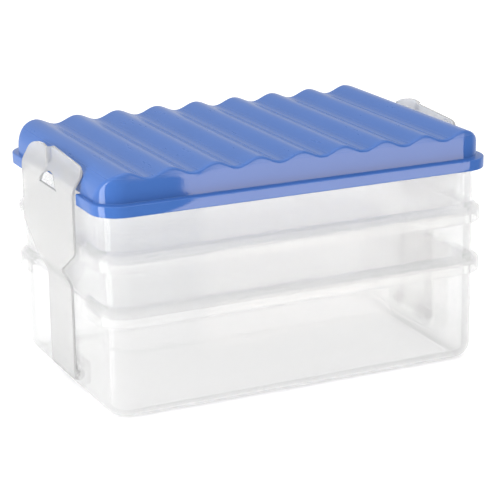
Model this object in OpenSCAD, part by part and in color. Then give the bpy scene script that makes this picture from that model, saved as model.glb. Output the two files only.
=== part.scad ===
// Three-tier storage box for art supplies: a wave-topped lid over two shallow trays and
// a deep base tray, locked together by a hinged clip at each end.
// X runs along the box, Y across it, and Z is up. The origin is under the middle of the base.

/* [Trays] */
// Outside length of the trays' walls
tray_l = 357; // [300:1:420]
// Outside width of the trays' walls
tray_w = 227; // [190:1:280]
// Plan radius of the trays' corners
tray_r = 21; // [18:1:30]
// Thickness of the trays' walls and floors
wall = 2; // [1.6:0.1:2.4]
// Height of the deep base tray
base_h = 93; // [70:1:140]
// Height that each shallow tray adds to the stack
tier_h = 47; // [36:1:70]
// Radius along the base tray's bottom edge
foot_r = 14; // [9:1:16]
// How far a tray's stepped bottom drops into the tray below
step_h = 3; // [2:0.5:5]
// Thickness of the flat lip round a tray's top edge
lip_t = 2; // [1.5:0.5:3]

/* [Skirts] */
// How far a shallow tray's skirt stands out from its walls
skirt_out = 7; // [6:0.5:10]
// Height of the skirt's sloping shoulder above the joint
skirt_rise = 8; // [7.5:0.5:12]
// Height of the skirt's outer corner above the joint
skirt_corner = 1.5; // [1:0.5:3]
// How far the skirt hangs below the joint
skirt_drop = 9; // [6:0.5:12]

/* [Lid] */
// How far the lid's rim stands out from the trays' walls
rim_out = 8; // [7.5:0.5:11]
// Depth of the lid's rim below the top tray's edge
rim_drop = 7.4; // [5:0.2:12]
// Thickness of the lid
lid_t = 2.4; // [1.8:0.1:3]
// How far the domed top stands in from the rim, all round
dome_in = 8; // [5:0.5:10]
// Plan radius of the dome's corners
dome_r = 23; // [18:1:30]
// Mean height of the waves above the top tray's edge
wave_mid = 25.1; // [20:0.1:35]
// Height of the waves above and below their mean
wave_amp = 2.95; // [1:0.05:4]
// Distance from crest to crest
wave_pitch = 40; // [30:1:45]
// Radius of the dome's rolled ends
end_r = 22; // [14:1:22]

/* [Clips] */
// Half the width of a clip's plate
plate_half = 64; // [50:1:75]
// Half the width of a clip's tongue
tongue_half = 29; // [20:1:34]
// Thickness of a clip
clip_t = 2.4; // [2:0.1:3]
// How far the plate bows out from the tongue
bow = 8.6; // [6:0.2:12]
// Height at which the tongue starts to bow out, above the base tray's edge
bow_start = 1; // [-4:1:8]
// Height over which a clip bows out
bow_rise = 24; // [18:1:32]
// Height over which the plate curls in to its top, from the top tray's edge
curl_rise = 21; // [16:1:24]
// Height of the plate's top edge above the top tray's edge
hook_top = 24.5; // [20:0.5:25]
// Radius of the plate's top corner
plate_r = 8; // [5:1:12]
// Height over which the plate narrows to the tongue
taper_h = 22; // [14:1:30]
// Height of the plate's full width above the upper joint, negative below it
taper_drop = -4; // [-8:1:4]
// Height of the thumb tab's peak above the top tray's edge
tab_top = 28.5; // [26:0.5:34]
// How far the tab's peak lies behind the clip's middle
tab_shift = 16; // [0:1:24]
// Distance from the tab's peak to its front edge
tab_front = 24; // [16:1:30]
// Height over which the tab falls to its front edge
tab_fall = 12.5; // [9:0.5:16]
// Height over which the tab falls to the plate's back edge
back_fall = 25.5; // [18:0.5:30]
// Half the width of the finger hole
hole_half = 21.5; // [15:0.5:24]
// Height of the finger hole
hole_h = 12.6; // [10:0.2:14]
// How far the hole's flat edge lies below the top tray's edge
hole_drop = 4.4; // [3:0.2:10]
// How far the hole's middle lies in front of the clip's middle
hole_shift = 4; // [0:1:10]

/* [Clip hinges] */
// Height of the hinge pins above the table
hinge_z = 16; // [14:0.5:30]
// How far the hinge pins lie inside the wall's face
hinge_in = 2.1; // [1.5:0.1:3]
// Radius of the hinge pins
pin_r = 2; // [1.5:0.1:2.5]
// Length of each hinge pin
pin_len = 2.4; // [1.5:0.1:2.6]
// Thickness of the cheeks beside the hinge pocket
cheek = 3.4; // [3.2:0.1:5]
// Height of the hinge pocket above the pins
pocket_up = 9; // [7:0.5:14]

/* [Clearances] */
// Gap between parts that nest or lift past each other
gap = 0.4; // [0.3:0.05:0.6]
// Radial gap of the hinge pins in their holes
pin_gap = 0.08; // [0.05:0.01:0.1]
// Gap between a clip and the faces that it stands against
clip_gap = 0.5; // [0.4:0.1:0.8]

/* [Hidden] */
$fn = 96;
cut = 1;
joint_1 = base_h;
joint_2 = base_h + tier_h;
edge_z = base_h + 2 * tier_h;
face_x = tray_l / 2;
lip_out = skirt_out - wall - gap;
lid_l = tray_l + 2 * rim_out;
lid_w = tray_w + 2 * rim_out;
rim_r = tray_r + rim_out / 2;
dome_l = lid_l - dome_in;
dome_w = lid_w - 2 * dome_in;
crests = 2 * floor((dome_l / 2 - end_r) / wave_pitch) + 1;
wave_end = wave_pitch * (crests - 1) / 2;
wave_steps = 16;
bay_half = plate_half + 3 * clip_gap;
lip_bay_half = bay_half + lid_t + gap;
tongue_x = face_x + clip_gap;
barrel_r = hinge_in + clip_gap + clip_t;
pin_x = face_x - hinge_in;
pocket_depth = hinge_in + barrel_r + clip_gap;
pocket_half = tongue_half + clip_gap;
pocket_z0 = hinge_z - barrel_r - clip_gap;
clear_blue = [0.9, 0.92, 0.95, 0.55];
lid_blue = [0.29, 0.45, 0.79];

// Plan outline of a rounded rectangle.
module plan(l, w, r) {
    square([l - 2 * r, w], center = true);
    square([l, w - 2 * r], center = true);
    for (x = [-1, 1], y = [-1, 1])
        translate([x * (l / 2 - r), y * (w / 2 - r)]) circle(r);
}

// Upright rounded block from z0 to z1.
module slab(l, w, r, z0, z1) {
    translate([0, 0, z0]) linear_extrude(z1 - z0) plan(l, w, r);
}

// Carries a profile, drawn outward from the wall's face, round a rounded rectangle.
module around(l, w, r) {
    for (s = [0, 180]) rotate(s) {
        translate([l / 2, w / 2 - r, 0]) rotate([90, 0, 0]) linear_extrude(w - 2 * r) children();
        translate([l / 2 - r, w / 2, 0]) rotate([90, 0, 90]) mirror([0, 0, 1])
            linear_extrude(l - 2 * r) children();
        translate([l / 2 - r, w / 2 - r, 0])
            rotate_extrude(angle = 90) translate([r, 0]) children();
        translate([r - l / 2, w / 2 - r, 0])
            rotate([0, 0, 90]) rotate_extrude(angle = 90) translate([r, 0]) children();
    }
}

// Rounded block with a round bottom edge of radius f.
module dish(l, w, r, f, z0, z1) {
    slab(l, w, r, z0 + f, z1);
    slab(l - 2 * f, w - 2 * f, r - f, z0, z0 + f + cut);
    around(l, w, r) translate([-f, z0 + f]) intersection() {
        circle(f);
        translate([0, -f]) square(f);
    }
}

// The space that a clip needs at both ends, from z0 to z1, out from x0.
module bays(x0, half, z0, z1) {
    for (s = [-1, 1])
        translate([s > 0 ? x0 : -x0 - tray_l, -half, z0]) cube([tray_l, 2 * half, z1 - z0]);
}

// Flat lip round a tray's top edge, cut away where the clips pass.
module lip(z) {
    difference() {
        around(tray_l, tray_w, tray_r)
            translate([-wall / 2, z - lip_t]) square([wall / 2 + lip_out, lip_t]);
        bays(face_x, lip_bay_half, z - lip_t - cut, z + cut);
    }
}

// Skirt that covers the lip of the tray below, cut away where the clips pass.
module skirt(z) {
    lean = (skirt_rise - skirt_corner) / skirt_out;
    under = wall * sqrt(1 + lean * lean);
    inner_u = skirt_out - wall;
    difference() {
        around(tray_l, tray_w, tray_r) translate([0, z]) polygon([
            [-wall / 2, skirt_rise], [0, skirt_rise], [skirt_out, skirt_corner],
            [skirt_out, -skirt_drop], [inner_u, -skirt_drop],
            [inner_u, skirt_rise - under - lean * inner_u],
            [0, skirt_rise - under], [-wall / 2, skirt_rise - under]]);
        bays(face_x, bay_half, z - skirt_drop - cut, z + skirt_rise + cut);
    }
}

// A shallow tray whose walls start at the joint at height z.
module shallow_tray(z) {
    step_in = 2 * (wall + gap);
    difference() {
        union() {
            slab(tray_l, tray_w, tray_r, z, z + tier_h);
            slab(tray_l - step_in, tray_w - step_in, tray_r - step_in / 2, z - step_h, z + cut);
        }
        slab(tray_l - 2 * wall, tray_w - 2 * wall, tray_r - wall, z + wall, z + tier_h + cut);
        slab(tray_l - step_in - 2 * wall, tray_w - step_in - 2 * wall,
             tray_r - step_in / 2 - wall, z - step_h + wall, z + wall + cut);
    }
    lip(z + tier_h);
    skirt(z);
}

// Block at the foot of each end that holds a hinge pocket, grown by g on every side.
module pocket(g) {
    for (s = [-1, 1]) {
        x0 = face_x - pocket_depth - g;
        translate([s > 0 ? x0 : -face_x - cut, -pocket_half - g, pocket_z0 - g])
            cube([pocket_depth + g + cut, 2 * (pocket_half + g), hinge_z + pocket_up - pocket_z0 + 2 * g]);
    }
}

module base_tray() {
    color(clear_blue) {
        difference() {
            dish(tray_l, tray_w, tray_r, foot_r, 0, base_h);
            difference() {
                dish(tray_l - 2 * wall, tray_w - 2 * wall, tray_r - wall, foot_r - wall,
                     wall, base_h + cut);
                pocket(cheek);
            }
            pocket(0);
            for (s = [-1, 1]) translate([s * pin_x, 0, hinge_z]) rotate([90, 0, 0])
                cylinder(r = pin_r + pin_gap, h = 2 * (pocket_half + pin_len), center = true);
        }
        lip(base_h);
    }
}

module middle_tray() {
    color(clear_blue) shallow_tray(joint_1);
}

module top_tray() {
    color(clear_blue) shallow_tray(joint_2);
}

// Side outline of the domed top, moved in by t: waves between two rolled ends.
module wave_outline(t) {
    top_z = edge_z + wave_mid + wave_amp;
    half = dome_l / 2 - t;
    roll_r = end_r - t;
    n = wave_steps * (crests - 1);
    waves = [for (i = [0:n]) let (x = -wave_end + i * wave_pitch / wave_steps)
        [x, top_z - t - wave_amp * (1 - cos(360 * (x + wave_end) / wave_pitch))]];
    roll = [for (i = [0:wave_steps]) let (a = 90 - 90 * i / wave_steps)
        [half - roll_r + roll_r * cos(a), top_z - t - roll_r + roll_r * sin(a)]];
    left_roll = [for (i = [wave_steps:-1:0]) [-roll[i][0], roll[i][1]]];
    polygon(concat([[-half, edge_z]], left_roll, waves, roll, [[half, edge_z]]));
}

// Solid domed top, moved in by t.
module dome(t) {
    intersection() {
        translate([0, dome_w, 0]) rotate([90, 0, 0]) linear_extrude(2 * dome_w) wave_outline(t);
        slab(dome_l - 2 * t, dome_w - 2 * t, dome_r - t, 0, 2 * edge_z);
    }
}

module lid() {
    rim_z = edge_z - rim_drop;
    ledge_z = edge_z + lid_t;
    bay_x = face_x + clip_gap / 2;
    color(lid_blue) difference() {
        union() {
            slab(lid_l, lid_w, rim_r, rim_z, ledge_z);
            dome(0);
        }
        slab(lid_l - 2 * lid_t, lid_w - 2 * lid_t, rim_r - lid_t, rim_z - cut, edge_z);
        difference() {
            dome(lid_t);
            bays(bay_x - lid_t, bay_half + lid_t, edge_z, 2 * edge_z);
        }
        bays(bay_x, bay_half, rim_z - cut, 2 * edge_z);
    }
}

// Height profile of a clip's bow: 0 at the tongue, 1 across the plate, 0 at its top.
function ease(u) = u <= 0 ? 0 : u >= 1 ? 1 : (1 - cos(180 * u)) / 2;
function bow_at(z) = bow * (ease((z - joint_1 - bow_start) / bow_rise) - ease((z - edge_z) / curl_rise));

// Side outline of a clip, from its hinge to its thumb tab.
module clip_side() {
    z1 = edge_z + tab_top + cut;
    steps = 12;
    zs = concat(
        [hinge_z],
        [for (i = [0:steps]) joint_1 + bow_start + bow_rise * i / steps],
        [for (i = [0:steps]) edge_z + curl_rise * i / steps],
        [z1]);
    outer = [for (z = zs) [tongue_x + clip_t + bow_at(z), z]];
    inner = [for (i = [len(zs) - 1:-1:0]) [tongue_x + bow_at(zs[i]), zs[i]]];
    polygon(concat(outer, inner));
    translate([pin_x, hinge_z]) circle(barrel_r);
}

// Quarter of an ellipse from its peak at [y, z] down to [y + a, z - b].
function quarter(y, z, a, b) = [for (i = [0:wave_steps]) let (t = 90 * i / wave_steps)
    [y + a * sin(t), z - b + b * cos(t)]];

// Front outline of a clip: hooked plate, thumb tab, tapered shoulders and tongue.
module clip_front() {
    wide_z = joint_2 + taper_drop;
    hook_z = edge_z + hook_top;
    tab_z = edge_z + tab_top;
    front_side = quarter(tab_shift, tab_z, -tab_front, tab_fall);
    back_side = quarter(tab_shift, tab_z, plate_half - tab_shift, back_fall);
    translate([-plate_half, wide_z])
        square([plate_half + tab_shift, hook_z - plate_r - wide_z]);
    translate([plate_r - plate_half, wide_z])
        square([plate_half + tab_shift - plate_r, hook_z - wide_z]);
    translate([plate_r - plate_half, hook_z - plate_r]) circle(plate_r);
    polygon(concat([for (i = [wave_steps:-1:1]) front_side[i]], back_side,
                   [[plate_half, wide_z], [tab_shift - tab_front, wide_z]]));
    polygon([[-plate_half, wide_z + cut], [-plate_half, wide_z], [-tongue_half, wide_z - taper_h],
             [tongue_half, wide_z - taper_h], [plate_half, wide_z], [plate_half, wide_z + cut]]);
    translate([-tongue_half, hinge_z - barrel_r - cut])
        square([2 * tongue_half, wide_z - hinge_z + barrel_r + cut]);
}

// Finger hole: a flat edge under an arch.
module finger_hole() {
    r = (hole_half * hole_half + hole_h * hole_h) / (2 * hole_h);
    z0 = edge_z - hole_drop;
    intersection() {
        translate([-hole_shift, z0 + hole_h - r]) circle(r);
        translate([-hole_shift - hole_half, z0]) square([2 * hole_half, hole_h]);
    }
}

// A clip at the +X end.
module clip() {
    difference() {
        intersection() {
            translate([0, plate_half + cut, 0]) rotate([90, 0, 0])
                linear_extrude(2 * (plate_half + cut)) clip_side();
            rotate([90, 0, 90]) linear_extrude(tray_l) clip_front();
        }
        translate([tongue_x, 0, 0]) rotate([90, 0, 90]) linear_extrude(bow + 2 * clip_t) finger_hole();
    }
    translate([pin_x, 0, hinge_z]) rotate([90, 0, 0])
        cylinder(r = pin_r, h = 2 * (tongue_half + clip_gap + pin_len - gap), center = true);
}

module left_clip() {
    color(clear_blue) mirror([1, 0, 0]) clip();
}

module right_clip() {
    color(clear_blue) clip();
}

base_tray();
middle_tray();
top_tray();
lid();
left_clip();
right_clip();
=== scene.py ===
import math
import bpy
import bmesh
from mathutils import Matrix, Vector


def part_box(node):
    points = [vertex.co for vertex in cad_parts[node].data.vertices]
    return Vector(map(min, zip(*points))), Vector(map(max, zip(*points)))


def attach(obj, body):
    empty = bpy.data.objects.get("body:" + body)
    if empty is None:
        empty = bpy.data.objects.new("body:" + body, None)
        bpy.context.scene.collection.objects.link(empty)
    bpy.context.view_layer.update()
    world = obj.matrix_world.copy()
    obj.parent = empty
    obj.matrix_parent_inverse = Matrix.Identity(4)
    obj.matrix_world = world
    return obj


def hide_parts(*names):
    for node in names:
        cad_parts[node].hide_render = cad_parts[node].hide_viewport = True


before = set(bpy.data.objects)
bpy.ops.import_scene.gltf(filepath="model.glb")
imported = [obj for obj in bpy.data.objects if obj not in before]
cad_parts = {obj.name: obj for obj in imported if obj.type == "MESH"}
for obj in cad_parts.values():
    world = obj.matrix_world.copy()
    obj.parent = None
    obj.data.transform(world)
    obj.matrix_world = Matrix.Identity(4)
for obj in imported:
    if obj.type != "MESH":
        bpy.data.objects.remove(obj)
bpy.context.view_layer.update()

mm = 0.001


# ---- Studio -------------------------------------------------------------------------------
# A white table under an evenly lit tent, a low white panel at the right front that shines in
# the lid's long side, and a narrow one at the left that draws the highlight down the corners.

scene = bpy.context.scene
scene.view_settings.view_transform = "Standard"

camera_at = Vector((-0.6994, -1.4986, 0.5944))
camera_yaw, camera_pitch, camera_roll = 25.12, 16.72, 0.73     # degrees
lens_data = bpy.data.cameras.new("studio_camera")
lens_data.lens = 135.96
lens_data.sensor_width = 36.0
studio_camera = bpy.data.objects.new("studio_camera", lens_data)
studio_camera.matrix_world = (
    Matrix.Translation(camera_at)
    @ Matrix.Rotation(math.radians(-camera_yaw), 4, "Z")
    @ Matrix.Rotation(math.radians(90 - camera_pitch), 4, "X")
    @ Matrix.Rotation(math.radians(-camera_roll), 4, "Z"))
scene.collection.objects.link(studio_camera)
scene.camera = studio_camera


class Wire:
    """A value that runs along a node tree. Sums and products on it add Math nodes."""

    def __init__(self, tree, socket):
        self.tree = tree
        self.socket = socket

    def worked(self, operation, *values):
        """What a Math node makes of the values."""
        return add_node(self.tree, "ShaderNodeMath", {"operation": operation}, dict(enumerate(values)))

    def __add__(self, other):
        return self.worked("ADD", self, other)

    def __radd__(self, other):
        return self.worked("ADD", other, self)

    def __sub__(self, other):
        return self.worked("SUBTRACT", self, other)

    def __rsub__(self, other):
        return self.worked("SUBTRACT", other, self)

    def __mul__(self, other):
        return self.worked("MULTIPLY", self, other)

    def __rmul__(self, other):
        return self.worked("MULTIPLY", other, self)

    def __truediv__(self, other):
        return self.worked("DIVIDE", self, other)

    def __rtruediv__(self, other):
        return self.worked("DIVIDE", other, self)

    def __lt__(self, other):
        return self.worked("LESS_THAN", self, other)

    def __gt__(self, other):
        return self.worked("GREATER_THAN", self, other)

    def of(self, operation):
        """A function of this value alone, such as its cosine."""
        return self.worked(operation, self)

    def kept(self, low=0.0, high=1.0):
        """This value, held between two limits."""
        return self.worked("MAXIMUM", self.worked("MINIMUM", self, high), low)

    def axis(self, letter):
        """One axis of a place or a direction."""
        return add_node(self.tree, "ShaderNodeSeparateXYZ", {}, {"Vector": self}, out=letter)

    def beside(self, name):
        """Another output of the node that this value comes from."""
        return Wire(self.tree, self.socket.node.outputs[name])


def add_node(tree, kind, settings=None, sockets=None, out=0):
    """Adds a node, sets it up, joins or fills its sockets, and returns one of its outputs."""
    node = tree.nodes.new(kind)
    for name, value in (settings or {}).items():
        setattr(node, name, value)
    for name, value in (sockets or {}).items():
        if isinstance(value, Wire):
            tree.links.new(value.socket, node.inputs[name])
        else:
            node.inputs[name].default_value = value
    return Wire(tree, node.outputs[out]) if node.outputs else None


def new_finish(name):
    """A new material with an empty tree, and the Object coordinates that its patterns start from."""
    finish = bpy.data.materials.new(name)
    finish.use_nodes = True
    finish.node_tree.nodes.clear()
    return finish, add_node(finish.node_tree, "ShaderNodeTexCoord", out="Object")


def surface(place, sockets):
    """Ends a material's tree in one shader with these sockets."""
    shader = add_node(place.tree, "ShaderNodeBsdfPrincipled", {}, sockets)
    add_node(place.tree, "ShaderNodeOutputMaterial", {}, {"Surface": shader})


def grain(place, scale, detail=2.0, roughness=0.5, stretch=(1, 1, 1)):
    """Soft noise from 0 to 1, so many patches to the metre."""
    where = add_node(place.tree, "ShaderNodeMapping", {}, {"Vector": place, "Scale": stretch})
    return add_node(place.tree, "ShaderNodeTexNoise", {},
                    {"Vector": where, "Scale": scale, "Detail": detail, "Roughness": roughness})


def between(factor, colour_a, colour_b):
    """A colour between two, by a factor from 0 to 1."""
    return add_node(factor.tree, "ShaderNodeMix", {"data_type": "RGBA"},
                    {0: factor, 6: (*colour_a, 1), 7: (*colour_b, 1)}, out=2)


half_table = 6.0        # metres
table_mesh = bpy.data.meshes.new("table_top")
table_mesh.from_pydata([(-half_table, -half_table, 0), (half_table, -half_table, 0),
                        (half_table, half_table, 0), (-half_table, half_table, 0)],
                       [], [(0, 1, 2, 3)])
table_top = bpy.data.objects.new("table_top", table_mesh)
scene.collection.objects.link(table_top)
paper_glow = 0.24       # keeps the table white where the box shades it
white_paper, paper_place = new_finish("white_paper")
paper_tone = between(grain(paper_place, scale=40.0), (0.93, 0.93, 0.93), (0.95, 0.95, 0.95))
surface(paper_place, {"Base Color": paper_tone, "Roughness": 0.9, "Specular IOR Level": 0.1,
                      "Emission Color": (1, 1, 1, 1), "Emission Strength": paper_glow})
table_mesh.materials.append(white_paper)
table_top.visible_glossy = False


def soft_panel(name, at, towards, size, strength, tint=(1, 1, 1)):
    """A lit panel that faces a point. It isn't seen by the camera or through clear plastic."""
    light = bpy.data.lights.new(name, "AREA")
    light.shape = "RECTANGLE"
    light.size, light.size_y = size
    light.energy = strength * size[0] * size[1] * math.pi
    light.color = tint
    panel = bpy.data.objects.new(name, light)
    panel.location = at
    panel.rotation_euler = (Vector(towards) - Vector(at)).to_track_quat("-Z", "Y").to_euler()
    panel.visible_camera = False
    panel.visible_transmission = False
    scene.collection.objects.link(panel)
    return panel


soft_panel("overhead_panel", at=(-0.1, -0.2, 1.3), towards=(0, 0, 0.1), size=(1.6, 1.6), strength=1.0)
front_panel = soft_panel("front_panel", at=(0.27, -0.56, 0.06), towards=(0.27, 0, 0.06),
                         size=(0.38, 0.40), strength=4.4, tint=(1, 0.87, 0.78))
front_panel.visible_diffuse = False
soft_panel("left_panel", at=(-1.0, -0.14, 0.1), towards=(0, 0, 0.1), size=(0.42, 0.9), strength=5.6)

tent = bpy.data.worlds.new("white_tent")
scene.world = tent
tent.use_nodes = True
tent_tree = tent.node_tree
tent_tree.nodes.clear()
tent_light, clear_light = 0.96, 1.02                    # on matt faces, and through clear plastic
dim_front, rear_horizon, rear_sky = 0.10, 0.85, 0.53    # what shiny faces mirror
rear_middle, rear_spread, sky_spread = 0.5, 2.0, 3.0    # how fast that changes with direction
seen = add_node(tent_tree, "ShaderNodeLightPath", out="Is Camera Ray")
through = seen.beside("Is Transmission Ray")
mirrored = seen.beside("Is Glossy Ray") * (1.0 - through)
heading = add_node(tent_tree, "ShaderNodeTexCoord", out="Generated")
rear = (heading.axis("Y") * rear_spread + rear_middle).kept()
high = (heading.axis("Z") * sky_spread).kept()
mirror_light = rear * (rear_horizon - dim_front - high * (rear_horizon - rear_sky)) + dim_front
hidden = (through * clear_light + mirrored * mirror_light
          + (1.0 - through) * (1.0 - mirrored) * tent_light)
backdrop = add_node(tent_tree, "ShaderNodeBackground", {},
                    {"Color": (1, 1, 1, 1), "Strength": seen + (1.0 - seen) * hidden})
add_node(tent_tree, "ShaderNodeOutputWorld", {}, {"Surface": backdrop})


# ---- Base tray ----------------------------------------------------------------------------
# The deep bottom tray is one translucent plastic moulding with a generous round along its
# foot, a flat lip round its top, and a pocket at the foot of each end for a clip's pins.

base_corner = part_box("base_tray")[1]
base_top = base_corner.z
wall = 2.0 * mm
lip_out = 4.6 * mm
lip_deep = 2.0 * mm
lip_gap = 68.3 * mm
corner_r = 21.0 * mm
foot_r = 14.0 * mm
edge_r = 0.6 * mm
half_l = base_corner.x - lip_out
half_w = base_corner.y - lip_out
pin_x, pin_z = 176.4 * mm, 16.0 * mm
pin_hole_r, pin_hole_deep = 2.08 * mm, 2.4 * mm
pocket_in, pocket_half, pocket_low, pocket_high = 170.9 * mm, 29.5 * mm, 10.5 * mm, 25.0 * mm
pocket_r, pocket_past = 0.5 * mm, 5 * mm
cheek, cheek_r, cheek_inset = 3.4 * mm, 1.0 * mm, 0.4 * mm


def rounded(corners, steps=5):
    """A 2-D outline from (u, v, radius) corners, in order, with an arc at each that has a radius."""
    points = []
    count = len(corners)
    for i, (u, v, r) in enumerate(corners):
        here = Vector((u, v))
        if not r:
            points.append(here)
            continue
        before = (Vector(corners[i - 1][:2]) - here).normalized()
        after = (Vector(corners[(i + 1) % count][:2]) - here).normalized()
        half_turn = before.angle(after) / 2
        reach = r / math.tan(half_turn)
        centre = here + (before + after).normalized() * (r / math.sin(half_turn))
        start = here + before * reach - centre
        end = here + after * reach - centre
        sweep_angle = start.angle_signed(end)
        for step in range(steps + 1):
            points.append(centre + Matrix.Rotation(-sweep_angle * step / steps, 2) @ start)
    return points


def quarter_round(u, v, radius, start, steps):
    """Points of a quarter circle about (u, v), from an angle in degrees, anticlockwise."""
    turns = [math.radians(start + 90 * i / steps) for i in range(steps + 1)]
    return [Vector((u + radius * math.cos(turn), v + radius * math.sin(turn))) for turn in turns]


def stations(length, width, radius, corner_steps=10):
    """Places round a rounded rectangle with their outward normals, from the +X end's middle."""
    places = []
    for quarter in range(4):
        sx = 1 if quarter in (0, 3) else -1
        sy = 1 if quarter in (0, 1) else -1
        centre = Vector((sx * (length - radius), sy * (width - radius)))
        for step in range(corner_steps + 1):
            turn = math.radians(90 * (quarter + step / corner_steps))
            normal = Vector((math.cos(turn), math.sin(turn)))
            places.append((centre + normal * radius, normal))
    return places


def side_stations(length, width, radius, gap, side):
    """The same places along one long side only, from where the gap at each end stops."""
    half = [(p, n) for p, n in stations(length, width, radius) if p.y * side > 0]
    start = (Vector((half[0][0].x, side * gap)), Vector((half[0][1].x, 0)).normalized())
    end = (Vector((half[-1][0].x, side * gap)), Vector((half[-1][1].x, 0)).normalized())
    return [start, *half, end]


def sweep(mesh, places, section, round_path, closed_section):
    """Carries a section of (out, height) points past the places, and closes what is left open."""
    rings = [[mesh.verts.new((p.x + n.x * u, p.y + n.y * u, v)) for u, v in section] for p, n in places]
    steps = len(rings) if round_path else len(rings) - 1
    rows = len(section) if closed_section else len(section) - 1
    for i in range(steps):
        a, b = rings[i], rings[(i + 1) % len(rings)]
        for j in range(rows):
            k = (j + 1) % len(section)
            mesh.faces.new((a[j], b[j], b[k], a[k]))
    if not closed_section:
        mesh.faces.new([ring[0] for ring in rings])
        mesh.faces.new([ring[-1] for ring in rings])
    if not round_path:
        mesh.faces.new(rings[0])
        mesh.faces.new(rings[-1])


def smooth(piece, crease=40):
    """Shades a piece smooth, apart from the edges that turn by more than the crease angle."""
    piece.data.shade_smooth()
    piece.data.set_sharp_from_angle(angle=math.radians(crease))


def finished(name, mesh):
    """Turns a bmesh into a piece with outward faces and smooth curves."""
    bmesh.ops.remove_doubles(mesh, verts=mesh.verts, dist=1e-6)
    bmesh.ops.recalc_face_normals(mesh, faces=mesh.faces)
    data = bpy.data.meshes.new(name)
    mesh.to_mesh(data)
    mesh.free()
    piece = bpy.data.objects.new(name, data)
    smooth(piece)
    scene.collection.objects.link(piece)
    return piece


def settle(piece):
    """Makes what the modifiers show the piece's own mesh."""
    bpy.context.view_layer.update()
    data = bpy.data.meshes.new_from_object(piece.evaluated_get(bpy.context.evaluated_depsgraph_get()))
    piece.modifiers.clear()
    old = piece.data
    name = old.name
    piece.data = data
    bpy.data.meshes.remove(old)
    data.name = name


def carve(piece, operation, other):
    """Joins another piece to this one, or cuts it away, and removes the other."""
    cut = piece.modifiers.new("carve", "BOOLEAN")
    cut.operation = operation
    cut.solver = "EXACT"
    cut.object = other
    settle(piece)
    bpy.data.objects.remove(other)


def block(name, low, high, radius):
    """A box with rounded edges."""
    mesh = bmesh.new()
    bmesh.ops.create_cube(mesh, size=1)
    low, high = Vector(low), Vector(high)
    for v in mesh.verts:
        v.co = (low + high) / 2 + Vector(a * b for a, b in zip(v.co, high - low))
    bmesh.ops.bevel(mesh, geom=mesh.edges[:], offset=radius, segments=3, affect="EDGES")
    return finished(name, mesh)


def rod(name, at, radius, length):
    """A round bar along Y, centred on a place."""
    mesh = bmesh.new()
    bmesh.ops.create_cone(mesh, cap_ends=True, segments=40, radius1=radius, radius2=radius, depth=length,
                          matrix=Matrix.Translation(at) @ Matrix.Rotation(math.pi / 2, 4, "X"))
    return finished(name, mesh)


def lip_section(top):
    """The flat lip's section, from inside the wall outwards, with its top at a height."""
    return rounded([(-wall / 2, top - lip_deep, 0), (lip_out, top - lip_deep, edge_r),
                    (lip_out, top, edge_r), (-wall / 2, top, 0)])


def belts(name, bands):
    """Runs each (gap, section) along both long sides, up to its gap for the clip at each end."""
    mesh = bmesh.new()
    for side in (-1, 1):
        for gap, section in bands:
            sweep(mesh, side_stations(half_l, half_w, corner_r, gap, side), section,
                  round_path=False, closed_section=True)
    return finished(name, mesh)


def paint(piece, finish):
    """Gives a piece its only material."""
    piece.data.materials.clear()
    piece.data.materials.append(finish)


shell = bmesh.new()
outer_foot = quarter_round(-foot_r, foot_r, foot_r, start=-90, steps=10)
inner_foot = quarter_round(-foot_r, foot_r, foot_r - wall, start=-90, steps=10)
upper_wall = rounded([(0, foot_r, 0), (0, base_top, edge_r),
                      (-wall, base_top, edge_r), (-wall, foot_r, 0)])
sweep(shell, stations(half_l, half_w, corner_r), outer_foot[:-1] + upper_wall + inner_foot[-2::-1],
      round_path=True, closed_section=False)
base_tray = finished("base_tray_moulding", shell)
for end in (-1, 1):
    near, far = sorted((end * (pocket_in - cheek), end * (half_l - cheek_inset)))
    carve(base_tray, "UNION", block("pocket_case", (near, -pocket_half - cheek, pocket_low - cheek),
                                    (far, pocket_half + cheek, pocket_high + cheek), cheek_r))
    near, far = sorted((end * pocket_in, end * (half_l + pocket_past)))
    carve(base_tray, "DIFFERENCE", block("pocket", (near, -pocket_half, pocket_low),
                                         (far, pocket_half, pocket_high), pocket_r))
    carve(base_tray, "DIFFERENCE", rod("pin_hole", (end * pin_x, 0, pin_z), pin_hole_r,
                                       2 * (pocket_half + pin_hole_deep)))
carve(base_tray, "UNION", belts("base_lip", [(lip_gap, lip_section(base_top))]))
smooth(base_tray)


def orange_peel(place, scale, strength):
    """The faint ripple of a moulded face, as a normal."""
    return add_node(place.tree, "ShaderNodeBump", {},
                    {"Strength": strength, "Distance": 0.2 * mm, "Height": grain(place, scale)})


painted_glow_low, painted_glow_high = 0.042, 0.098      # painted light: the trays glow faintly, most in the top tray, to lift the shade under the lid
painted_glow_rise = 20 * mm
clear_plastic, clear_place = new_finish("clear_tray_plastic")
cloud = grain(clear_place, scale=22.0, detail=3.0, roughness=0.55, stretch=(1, 1, 1.6))
flow = grain(clear_place, scale=60.0, detail=4.0, roughness=0.6, stretch=(0.25, 0.25, 1))
# painted light: the glow rises to its top-tray strength a little above the top tray's bottom
painted_glow_share = ((clear_place.axis("Z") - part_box("top_tray")[0].z) / painted_glow_rise).kept()
surface(clear_place, {"Base Color": between(cloud, (0.845, 0.845, 0.845), (0.87, 0.87, 0.868)),
                      "Roughness": 0.03 + flow * 0.05, "IOR": 1.30,
                      "Alpha": 0.52, "Transmission Weight": 0.78,
                      # painted light: a glow, though the plastic is no lamp
                      "Emission Color": between(painted_glow_share, (painted_glow_low,) * 3, (painted_glow_high,) * 3),
                      "Emission Strength": 1.0,
                      "Normal": orange_peel(clear_place, scale=900.0, strength=0.12)})
paint(base_tray, clear_plastic)
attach(base_tray, "base")
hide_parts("base_tray")


# ---- Middle and top trays -----------------------------------------------------------------
# Two shallow trays from one mould, in the same translucent plastic. Each has a stepped bottom
# that drops into the tray below, and a rounded skirt round the joint, open where a clip passes.

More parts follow.
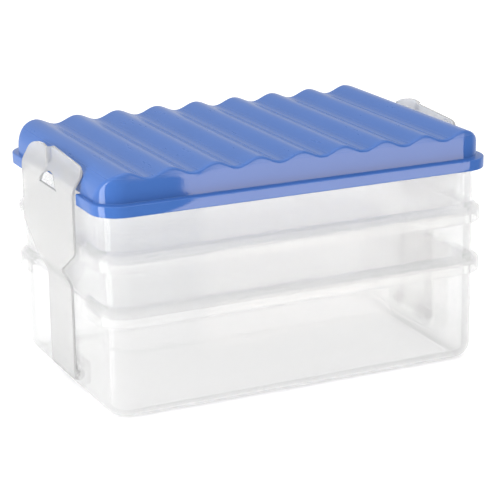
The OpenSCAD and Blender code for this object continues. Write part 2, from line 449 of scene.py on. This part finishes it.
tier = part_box("top_tray")[1].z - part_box("middle_tray")[1].z
step_in, step_deep = 2.4 * mm, 3.0 * mm          # the bottom's drop into the tray below
step_r, step_foot_r = 0.3 * mm, 1.0 * mm
floor_from, floor_r, well_r = 8 * mm, 1.5 * mm, 0.5 * mm
skirt_out, skirt_rise, skirt_drop = 7.0 * mm, 8.0 * mm, 9.0 * mm
skirt_gap = 65.5 * mm
skirt_root, skirt_neck = 2.6 * mm, 0.3 * mm      # where the skirt leaves the wall
shoulder, shoulder_r = 2.6 * mm, 4.0 * mm        # its upper outer bend
underside, underside_r = 1.0 * mm, 2.5 * mm      # its upper inner bend
hem, hem_out_r, hem_in_r = 2.4 * mm, 1.4 * mm, 0.5 * mm

for name, joint in (("middle_tray", base_top), ("top_tray", base_top + tier)):
    top = joint + tier
    low = joint - step_deep
    shell = bmesh.new()
    section = rounded([
        (-floor_from, low, 0), (-step_in, low, step_foot_r), (-step_in, joint, step_r),
        (0, joint, step_r), (0, top, edge_r), (-wall, top, edge_r),
        (-wall, joint + wall, floor_r), (-step_in - wall, joint + wall, step_r),
        (-step_in - wall, low + wall, well_r), (-floor_from, low + wall, 0)])
    sweep(shell, stations(half_l, half_w, corner_r), section, round_path=True, closed_section=False)
    tray = finished(name + "_moulding", shell)
    skirt = rounded([
        (-wall / 2, joint + skirt_rise, 0), (skirt_neck, joint + skirt_rise, 0),
        (skirt_out, joint + shoulder, shoulder_r), (skirt_out, joint - skirt_drop, hem_out_r),
        (skirt_out - hem, joint - skirt_drop, hem_in_r),
        (skirt_out - wall, joint + underside, underside_r),
        (-wall / 2, joint + skirt_rise - skirt_root, 0)], steps=6)
    carve(tray, "UNION", belts(name + "_belts", [(skirt_gap, skirt), (lip_gap, lip_section(top))]))
    smooth(tray)
    paint(tray, clear_plastic)
    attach(tray, name)
    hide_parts(name)


# ---- Lid ----------------------------------------------------------------------------------
# One glossy blue moulding: nine waves run across its top and roll down at both ends. A rim
# hangs over the top tray's lip, and a bay at each end leaves room for the clip.

lid_t = 2.4 * mm
tray_top = base_top + 2 * tier
ledge_z = tray_top + lid_t
lid_low, lid_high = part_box("lid")
rim_low = lid_low.z
crest_z = lid_high.z
under_crest = crest_z - lid_t
rim_l, rim_w, rim_r = lid_high.x, lid_high.y, 25.0 * mm
dome_l, dome_w, dome_r = rim_l - 4 * mm, rim_w - 8 * mm, 23.0 * mm
bay_x, bay_half = 178.75 * mm, 64.5 * mm
rim_foot = ((0.6 * mm, 0), (0.15 * mm, 0.2 * mm), (0, 0.7 * mm))    # inset and rise of its round
rim_chamfer = 0.5 * mm
ledge_edge, dome_foot, wave_edge = 0.9 * mm, 0.5 * mm, 2.6 * mm     # radii, from the rim upwards
wave_height, wave_pitch, last_crest = 5.9 * mm, 40.0 * mm, 160.0 * mm
roll_r = 24.0 * mm
short_steps, bay_steps, turn_steps, long_steps = 6, 24, 10, 288
dome_levels, roll_levels = 4, 15


def lid_ring(length, width, radius, z, bay_depth, bay_width):
    """One level of the lid: the same number of places round a rounded rectangle with two bays."""
    radius = max(radius, 0.0)
    straight = width - radius
    past_bay = [(straight - bay_width) * i / short_steps for i in range(short_steps)]
    half = [(length, along - straight, z) for along in past_bay]
    half.append((length, -bay_width, z))
    half += [(min(length, bay_depth), bay_width * (2 * i / bay_steps - 1), max(z, tray_top))
             for i in range(bay_steps + 1)]
    half += [(length, bay_width + along, z) for along in past_bay]
    half += [(*p, z) for p in quarter_round(length - radius, straight, radius, 0, turn_steps)]
    half += [((length - radius) * (1 - 2 * i / long_steps), width, z) for i in range(1, long_steps)]
    half += [(*p, z) for p in quarter_round(radius - length, straight, radius, 90, turn_steps)[:-1]]
    return [(s * x, s * y, height) for s in (1, -1) for x, y, height in half]


def rim_level(inset, z, bay_more=0.0):
    """A level of the rim, set in from its outline, with its bays made that much wider and deeper."""
    return lid_ring(rim_l - inset, rim_w - inset, rim_r - inset, z,
                    bay_x - bay_more, bay_half + bay_more)


def dome_level(inset, z, bay_more=0.0):
    """A level of the dome above the rim, in the same way."""
    return lid_ring(dome_l - inset, dome_w - inset, dome_r - inset, z,
                    bay_x - bay_more, bay_half + bay_more)


def bends(steps):
    """One minus the cosine and one minus the sine, in steps over a quarter turn."""
    turns = [math.radians(90 * i / steps) for i in range(steps + 1)]
    return [(1 - math.cos(turn), 1 - math.sin(turn)) for turn in turns]


outside = [rim_level(inset, rim_low + up) for inset, up in rim_foot]
outside += [rim_level(ledge_edge * u, ledge_z - ledge_edge * v) for u, v in bends(5)]
outside += [dome_level(-dome_foot * v, ledge_z + dome_foot * u) for u, v in bends(4)]
outside += [dome_level(0, ledge_z + (crest_z - wave_edge - ledge_z) * i / dome_levels)
            for i in range(1, dome_levels)]
outside += [dome_level(wave_edge * u, crest_z - wave_edge * v) for u, v in bends(6)]
outside += [dome_level(wave_edge + (dome_r - wave_edge) * i / roll_levels, crest_z)
            for i in range(1, roll_levels + 1)]
inside = [dome_level(dome_r + (lid_t - dome_r) * i / roll_levels, under_crest, lid_t)
          for i in range(roll_levels + 1)]
inside += [dome_level(lid_t, (tray_top + under_crest) / 2, lid_t),
           dome_level(lid_t, tray_top, lid_t),
           rim_level(lid_t, tray_top, lid_t),
           rim_level(lid_t, rim_low + rim_chamfer, lid_t),
           rim_level(lid_t - rim_chamfer, rim_low, lid_t)]

blank = bmesh.new()
shelves = [[blank.verts.new(p) for p in level] for level in inside + outside]
for a, b in zip(shelves, shelves[1:]):
    for i in range(len(a)):
        j = (i + 1) % len(a)
        blank.faces.new((a[i], a[j], b[j], b[i]))
flat_l, flat_w = dome_l - dome_r, dome_w - dome_r
for z, gap in ((crest_z, bay_half), (under_crest, bay_half + lid_t)):
    past_gap = [gap + (flat_w - gap) * i / short_steps for i in range(1, short_steps + 1)]
    over_gap = [gap * (2 * i / bay_steps - 1) for i in range(bay_steps + 1)]
    across = [-y for y in reversed(past_gap)] + over_gap + past_gap
    grid = [[blank.verts.new((flat_l * (1 - 2 * i / long_steps), y, z)) for y in across]
            for i in range(long_steps + 1)]
    for a, b in zip(grid, grid[1:]):
        for j in range(len(across) - 1):
            blank.faces.new((a[j], a[j + 1], b[j + 1], b[j]))
bmesh.ops.remove_doubles(blank, verts=blank.verts, dist=2e-6)
bmesh.ops.dissolve_degenerate(blank, edges=blank.edges, dist=1e-6)
lid = finished("lid_moulding", blank)

dull_from, dull_rise = crest_z - 9 * mm, 4 * mm     # the waves are duller than the sides
blue_plastic, blue_place = new_finish("blue_lid_plastic")
blue_cloud = grain(blue_place, scale=18.0, detail=3.0)
blue_scuff = grain(blue_place, scale=120.0, detail=5.0, roughness=0.65, stretch=(1, 0.2, 1))
dull = ((blue_place.axis("Z") - dull_from) / dull_rise).kept()
surface(blue_place, {"Base Color": between(blue_cloud, (0.048, 0.132, 0.400), (0.058, 0.148, 0.435)),
                     "Roughness": 0.03 + blue_scuff * 0.04 + dull * 0.23, "IOR": 1.5,
                     "Normal": orange_peel(blue_place, scale=700.0, strength=0.03)})

wave_sizes = {"Wave height": wave_height, "Wave pitch": wave_pitch, "Last crest": last_crest,
              "Roll start": dome_l - roll_r, "Roll radius": roll_r,
              "Ledge height": ledge_z, "Full height": under_crest}


def wave_press():
    """Node group that presses the waves and the rolled ends into a flat-topped lid blank."""
    group = bpy.data.node_groups.new("wave_press", "GeometryNodeTree")
    face = group.interface
    face.new_socket("Geometry", in_out="INPUT", socket_type="NodeSocketGeometry")
    for label in wave_sizes:
        face.new_socket(label, in_out="INPUT", socket_type="NodeSocketFloat")
    face.new_socket("Plastic", in_out="INPUT", socket_type="NodeSocketMaterial")
    face.new_socket("Geometry", in_out="OUTPUT", socket_type="NodeSocketGeometry")
    flat_lid = add_node(group, "NodeGroupInput")
    size = {label: flat_lid.beside(label) for label in wave_sizes}
    place = add_node(group, "GeometryNodeInputPosition")
    x = place.axis("X").of("ABSOLUTE")
    phase = (x - size["Last crest"]) / size["Wave pitch"] * (2 * math.pi)
    on_waves = x < size["Last crest"]
    wave_fall = (1.0 - phase.of("COSINE")) * size["Wave height"] * 0.5 * on_waves
    along = ((x - size["Roll start"]) / size["Roll radius"]).kept()
    roll_fall = (1.0 - (1.0 - along * along).of("SQRT")) * size["Roll radius"]
    dome_height = size["Full height"] - size["Ledge height"]
    share = ((place.axis("Z") - size["Ledge height"]) / dome_height).kept()
    fall = add_node(group, "ShaderNodeCombineXYZ", {}, {"Z": share * (wave_fall + roll_fall) * -1.0})
    pressed = add_node(group, "GeometryNodeSetPosition", {}, {"Geometry": flat_lid, "Offset": fall})
    real = add_node(group, "GeometryNodeRealizeInstances", {}, {"Geometry": pressed})
    painted = add_node(group, "GeometryNodeSetMaterial", {},
                       {"Geometry": real, "Material": flat_lid.beside("Plastic")})
    add_node(group, "NodeGroupOutput", {}, {"Geometry": painted})
    return group


press = lid.modifiers.new("waves", "NODES")
press.node_group = wave_press()
for label, setting in {**wave_sizes, "Plastic": blue_plastic}.items():
    socket = next(s for s in press.node_group.interface.items_tree if s.name == label)
    press[socket.identifier] = setting
settle(lid)
smooth(lid)
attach(lid, "lid")
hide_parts("lid")


# ---- Clips --------------------------------------------------------------------------------
# A translucent clip at each end, one moulding: pins at its foot, a narrow tongue, and a wide
# plate that bows out past the joints and hooks over the lid, with a thumb tab and finger hole.

clip_t = 2.4 * mm
clip_edge_r = 0.7 * mm
tongue_x, tongue_half = half_l + 0.5 * mm, 29 * mm
plate_half, plate_low, plate_r = 64 * mm, base_top + tier - 4 * mm, 6 * mm
taper = 22 * mm
bow, bow_from, bow_rise = 8.6 * mm, base_top + 1 * mm, 24 * mm
curl_from, curl_rise = tray_top, 21 * mm
hook_front, hook_back, hook_r = tray_top + 24.2 * mm, tray_top + 28.2 * mm, 7 * mm
tab_y, tab_z, back_fall = 16 * mm, tray_top + 28.5 * mm, 25.5 * mm
tab_from, tab_to, tab_curl, tab_rise = 6 * mm, 9 * mm, 0.42, 16 * mm    # the tab curls in less
notch_y, notch_z, notch_wide, notch_r = 7.5 * mm, tray_top + 27.2 * mm, 2.5 * mm, 0.8 * mm
hole_y, hole_half, hole_low, hole_high = -4 * mm, 21.5 * mm, tray_top - 4.4 * mm, tray_top + 8.2 * mm
barrel_r, pin_r, pin_out = 5 * mm, 2 * mm, 2.5 * mm
hole_steps, bow_rows, curl_rows, tab_columns = 20, 20, 24, 6


def ease(u):
    """A smooth step from 0 to 1 as u goes from 0 to 1."""
    return (1 - math.cos(math.pi * min(max(u, 0), 1))) / 2


def bowed(y, z):
    """How far the plate stands out from its foot: it bows past the joints, then curls back in."""
    share = ease((y - tab_from) / (tab_to - tab_from))
    hook = ease((z - curl_from) / curl_rise)
    tab = tab_curl * ease((z - curl_from) / tab_rise)
    return bow * (ease((z - bow_from) / bow_rise) - hook + share * (hook - tab))


def prism(name, outline, low, high):
    """A (y, z) outline pushed out along X."""
    mesh = bmesh.new()
    caps = []
    for depth in (low, high):
        caps.append([mesh.verts.new((depth, y, z)) for y, z in outline])
        mesh.faces.new(caps[-1])
    for i in range(len(outline)):
        j = (i + 1) % len(outline)
        mesh.faces.new((caps[0][i], caps[0][j], caps[1][j], caps[1][i]))
    return finished(name, mesh)


def falling_curve(y, z, reach, fall, steps=14):
    """A quarter ellipse that leaves (y, z) level and comes down upright, as (y, z) places."""
    turns = [math.radians(90 * i / steps) for i in range(steps + 1)]
    return [(y + reach * math.sin(turn), z - fall + fall * math.cos(turn)) for turn in turns]


tab_back = falling_curve(tab_y, tab_z, plate_half - tab_y, back_fall)
tongue_foot = pin_z - barrel_r + 1 * mm
plate_outline = rounded([
    (-plate_half, plate_low, plate_r), (-tongue_half, plate_low - taper, plate_r),
    (-tongue_half, tongue_foot, 0), (tongue_half, tongue_foot, 0),
    (tongue_half, plate_low - taper, plate_r), (plate_half, plate_low, plate_r),
    *((y, z, 0) for y, z in reversed(tab_back)), (notch_y, notch_z, notch_r),
    (notch_y - notch_wide, hook_back, notch_r), (-plate_half, hook_front, hook_r)], steps=6)
hole_rise = hole_high - hole_low
arc_r = (hole_half ** 2 + hole_rise ** 2) / (2 * hole_rise)
arc_half = math.asin(hole_half / arc_r)
arc_turns = [arc_half * (1 - 2 * i / hole_steps) for i in range(hole_steps + 1)]
hole_outline = [(hole_y + arc_r * math.sin(turn), hole_high - arc_r + arc_r * math.cos(turn))
                for turn in arc_turns]
bend_lines = [((0, 0, bow_from + bow_rise * i / bow_rows), (0, 0, 1)) for i in range(bow_rows + 1)]
bend_lines += [((0, 0, curl_from + (tab_z - curl_from) * i / curl_rows), (0, 0, 1))
               for i in range(curl_rows)]
bend_lines += [((0, tab_from + (tab_to - tab_from) * i / tab_columns, 0), (0, 1, 0))
               for i in range(tab_columns + 1)]

pale_fall = 90 * mm     # the clip's colour is darker at the top and grows paler over this height, down to the foot
clip_plastic, clip_place = new_finish("clear_clip_plastic")
clip_cloud = grain(clip_place, scale=45.0, detail=3.0)
pale = ((tray_top - clip_place.axis("Z")) / pale_fall).kept()
clip_tone = between(pale * 0.85 + clip_cloud * 0.15, (0.825, 0.823, 0.812), (0.94, 0.938, 0.93))
surface(clip_place, {"Base Color": clip_tone, "Roughness": 0.20 + clip_cloud * 0.10, "IOR": 1.42,
                     "Transmission Weight": 0.66, "Subsurface Weight": 1.0,
                     "Subsurface Scale": 6 * mm, "Subsurface Radius": (1, 1, 1),
                     "Normal": orange_peel(clip_place, scale=900.0, strength=0.12)})

for body, end in (("left_clip", -1), ("right_clip", 1)):
    near, far = sorted((end * tongue_x, end * (tongue_x + clip_t)))
    clip = prism(body + "_moulding", plate_outline, near, far)
    carve(clip, "DIFFERENCE", prism("finger_hole", hole_outline, near - 1 * mm, far + 1 * mm))
    soften = clip.modifiers.new("soften", "BEVEL")
    soften.width = clip_edge_r
    soften.segments = 3
    soften.limit_method = "ANGLE"
    soften.angle_limit = math.radians(50)
    settle(clip)
    bent = bmesh.new()
    bent.from_mesh(clip.data)
    for place, normal in bend_lines:
        bmesh.ops.bisect_plane(bent, geom=bent.verts[:] + bent.edges[:] + bent.faces[:], dist=1e-7,
                               plane_co=place, plane_no=normal)
    for v in bent.verts:
        v.co.x += end * bowed(v.co.y, v.co.z)
    bent.to_mesh(clip.data)
    bent.free()
    carve(clip, "UNION", rod("clip_barrel", (end * pin_x, 0, pin_z), barrel_r, 2 * tongue_half))
    carve(clip, "UNION", rod("clip_pins", (end * pin_x, 0, pin_z), pin_r, 2 * (tongue_half + pin_out)))
    smooth(clip, crease=50)
    even = clip.modifiers.new("even_shading", "WEIGHTED_NORMAL")
    even.keep_sharp = True
    settle(clip)
    paint(clip, clip_plastic)
    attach(clip, body)
    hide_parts(body)
